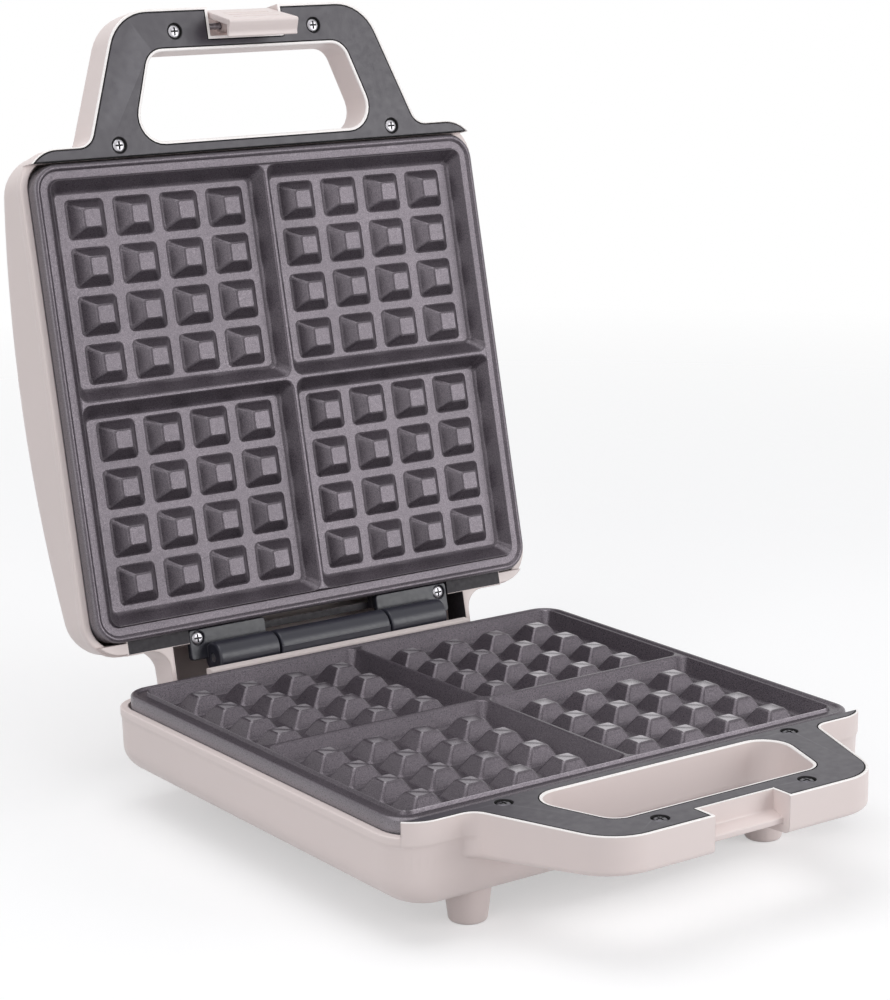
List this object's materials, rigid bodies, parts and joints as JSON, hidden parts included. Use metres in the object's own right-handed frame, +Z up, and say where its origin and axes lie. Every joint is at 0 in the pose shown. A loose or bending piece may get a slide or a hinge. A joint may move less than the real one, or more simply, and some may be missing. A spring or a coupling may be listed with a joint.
{
  "type": "belgian waffle maker",
  "caption": "Countertop waffle maker with a hinged lid, square non-stick moulds, a loop handle on each half and a sprung latch.",
  "frame": {"origin": "bottom centre of the box of the part with its lid leaning open, on the surface it stands on", "axes": "+X to the right, -Y towards the handles, +Z up"},
  "size_m": [0.2434, 0.374, 0.3387],
  "materials": {
    "shell": "satin moulded plastic, pale blush",
    "cover": "satin moulded plastic, charcoal",
    "plate": "dark non-stick coating on cast metal",
    "hinge": "satin, blue-black",
    "steel": "plain steel",
    "reflector": "bright sheet",
    "screw": "blackened",
    "ceramic": "unglazed",
    "gland": "matt",
    "lens_red": "clear-tinted, glossy",
    "lens_green": "clear-tinted, glossy",
    "lamp": "clear glass"
  },
  "bodies": {
    "base": {"base_shell": "shell", "lower_handle_cover": "cover", "lower_plate": "plate", "lower_heating_element": "steel", "lower_heat_reflector": "reflector", "lower_cover_screw_rear_right": "screw", "lower_cover_screw_rear_left": "screw", "lower_cover_screw_front_right": "screw", "lower_cover_screw_front_left": "screw", "base_hinge_knuckle": "hinge", "thermostat": "steel", "thermal_fuse": "steel", "terminal_block": "ceramic", "cord_gland": "gland", "foot_front_right": "shell", "foot_front_left": "shell", "foot_rear_right": "shell", "foot_rear_left": "shell"},
    "lid": {"lid_shell": "shell", "upper_handle_cover": "cover", "upper_plate": "plate", "upper_heating_element": "steel", "upper_heat_reflector": "reflector", "upper_cover_screw_rear_right": "screw", "upper_cover_screw_rear_left": "screw", "upper_cover_screw_front_right": "screw", "upper_cover_screw_front_left": "screw", "lid_hinge_leaf_right": "hinge", "lid_hinge_leaf_left": "hinge", "leaf_screw_right": "screw", "leaf_screw_left": "screw", "hinge_pin": "steel", "indicator_lens_red": "lens_red", "indicator_lens_green": "lens_green", "indicator_lamp_red": "lamp", "indicator_lamp_green": "lamp"},
    "latch": {"latch": "shell", "latch_pin": "steel", "latch_spring": "steel"}
  },
  "joints": [
    {"name": "lid_hinge", "type": "hinge", "parent": "base", "child": "lid", "pos_m": [0, 0.10523, 0.05345], "axis": [1, 0, 0], "range_deg": [0, 102.56]},
    {"name": "latch_swing", "type": "hinge", "parent": "lid", "child": "latch", "pos_m": [0, 0.17413, 0.32937], "axis": [-1, 0, 0], "range_deg": [0, 32]}
  ],
  "couplings": [
    {"joint": "latch_swing", "follows": "lid_hinge", "ratio": 0.312}
  ]
}
